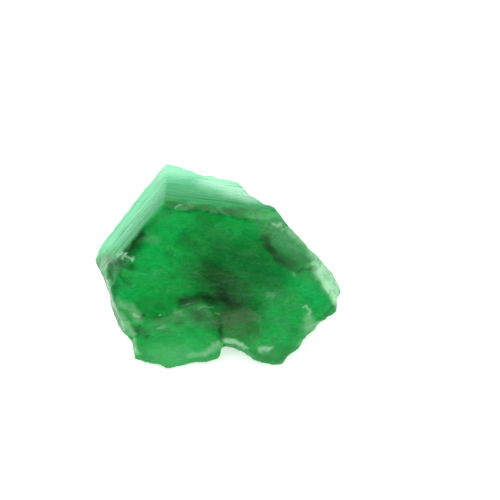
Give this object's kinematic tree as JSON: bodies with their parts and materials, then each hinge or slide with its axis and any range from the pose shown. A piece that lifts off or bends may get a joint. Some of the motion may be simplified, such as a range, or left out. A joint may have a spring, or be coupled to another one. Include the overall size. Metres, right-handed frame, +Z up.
{
  "type": "raw emerald crystal",
  "caption": "Rough, translucent green gemstone: a broken piece of a six-sided crystal with two ridged prism walls, resting on its broken underside.",
  "frame": {"origin": "on the ground under the middle of the stone's bounding box", "axes": "+X along the stone's longest side, +Z up from the flat it rests on, and the broad sloping face turned to -Y"},
  "size_m": [0.0144, 0.011, 0.0084],
  "materials": {
    "emerald": "translucent green, from glossy on the broken faces to frosted on the ridged prism walls and the right shoulder"
  },
  "bodies": {
    "root": {"emerald_crystal": "emerald"}
  },
  "joints": []
}
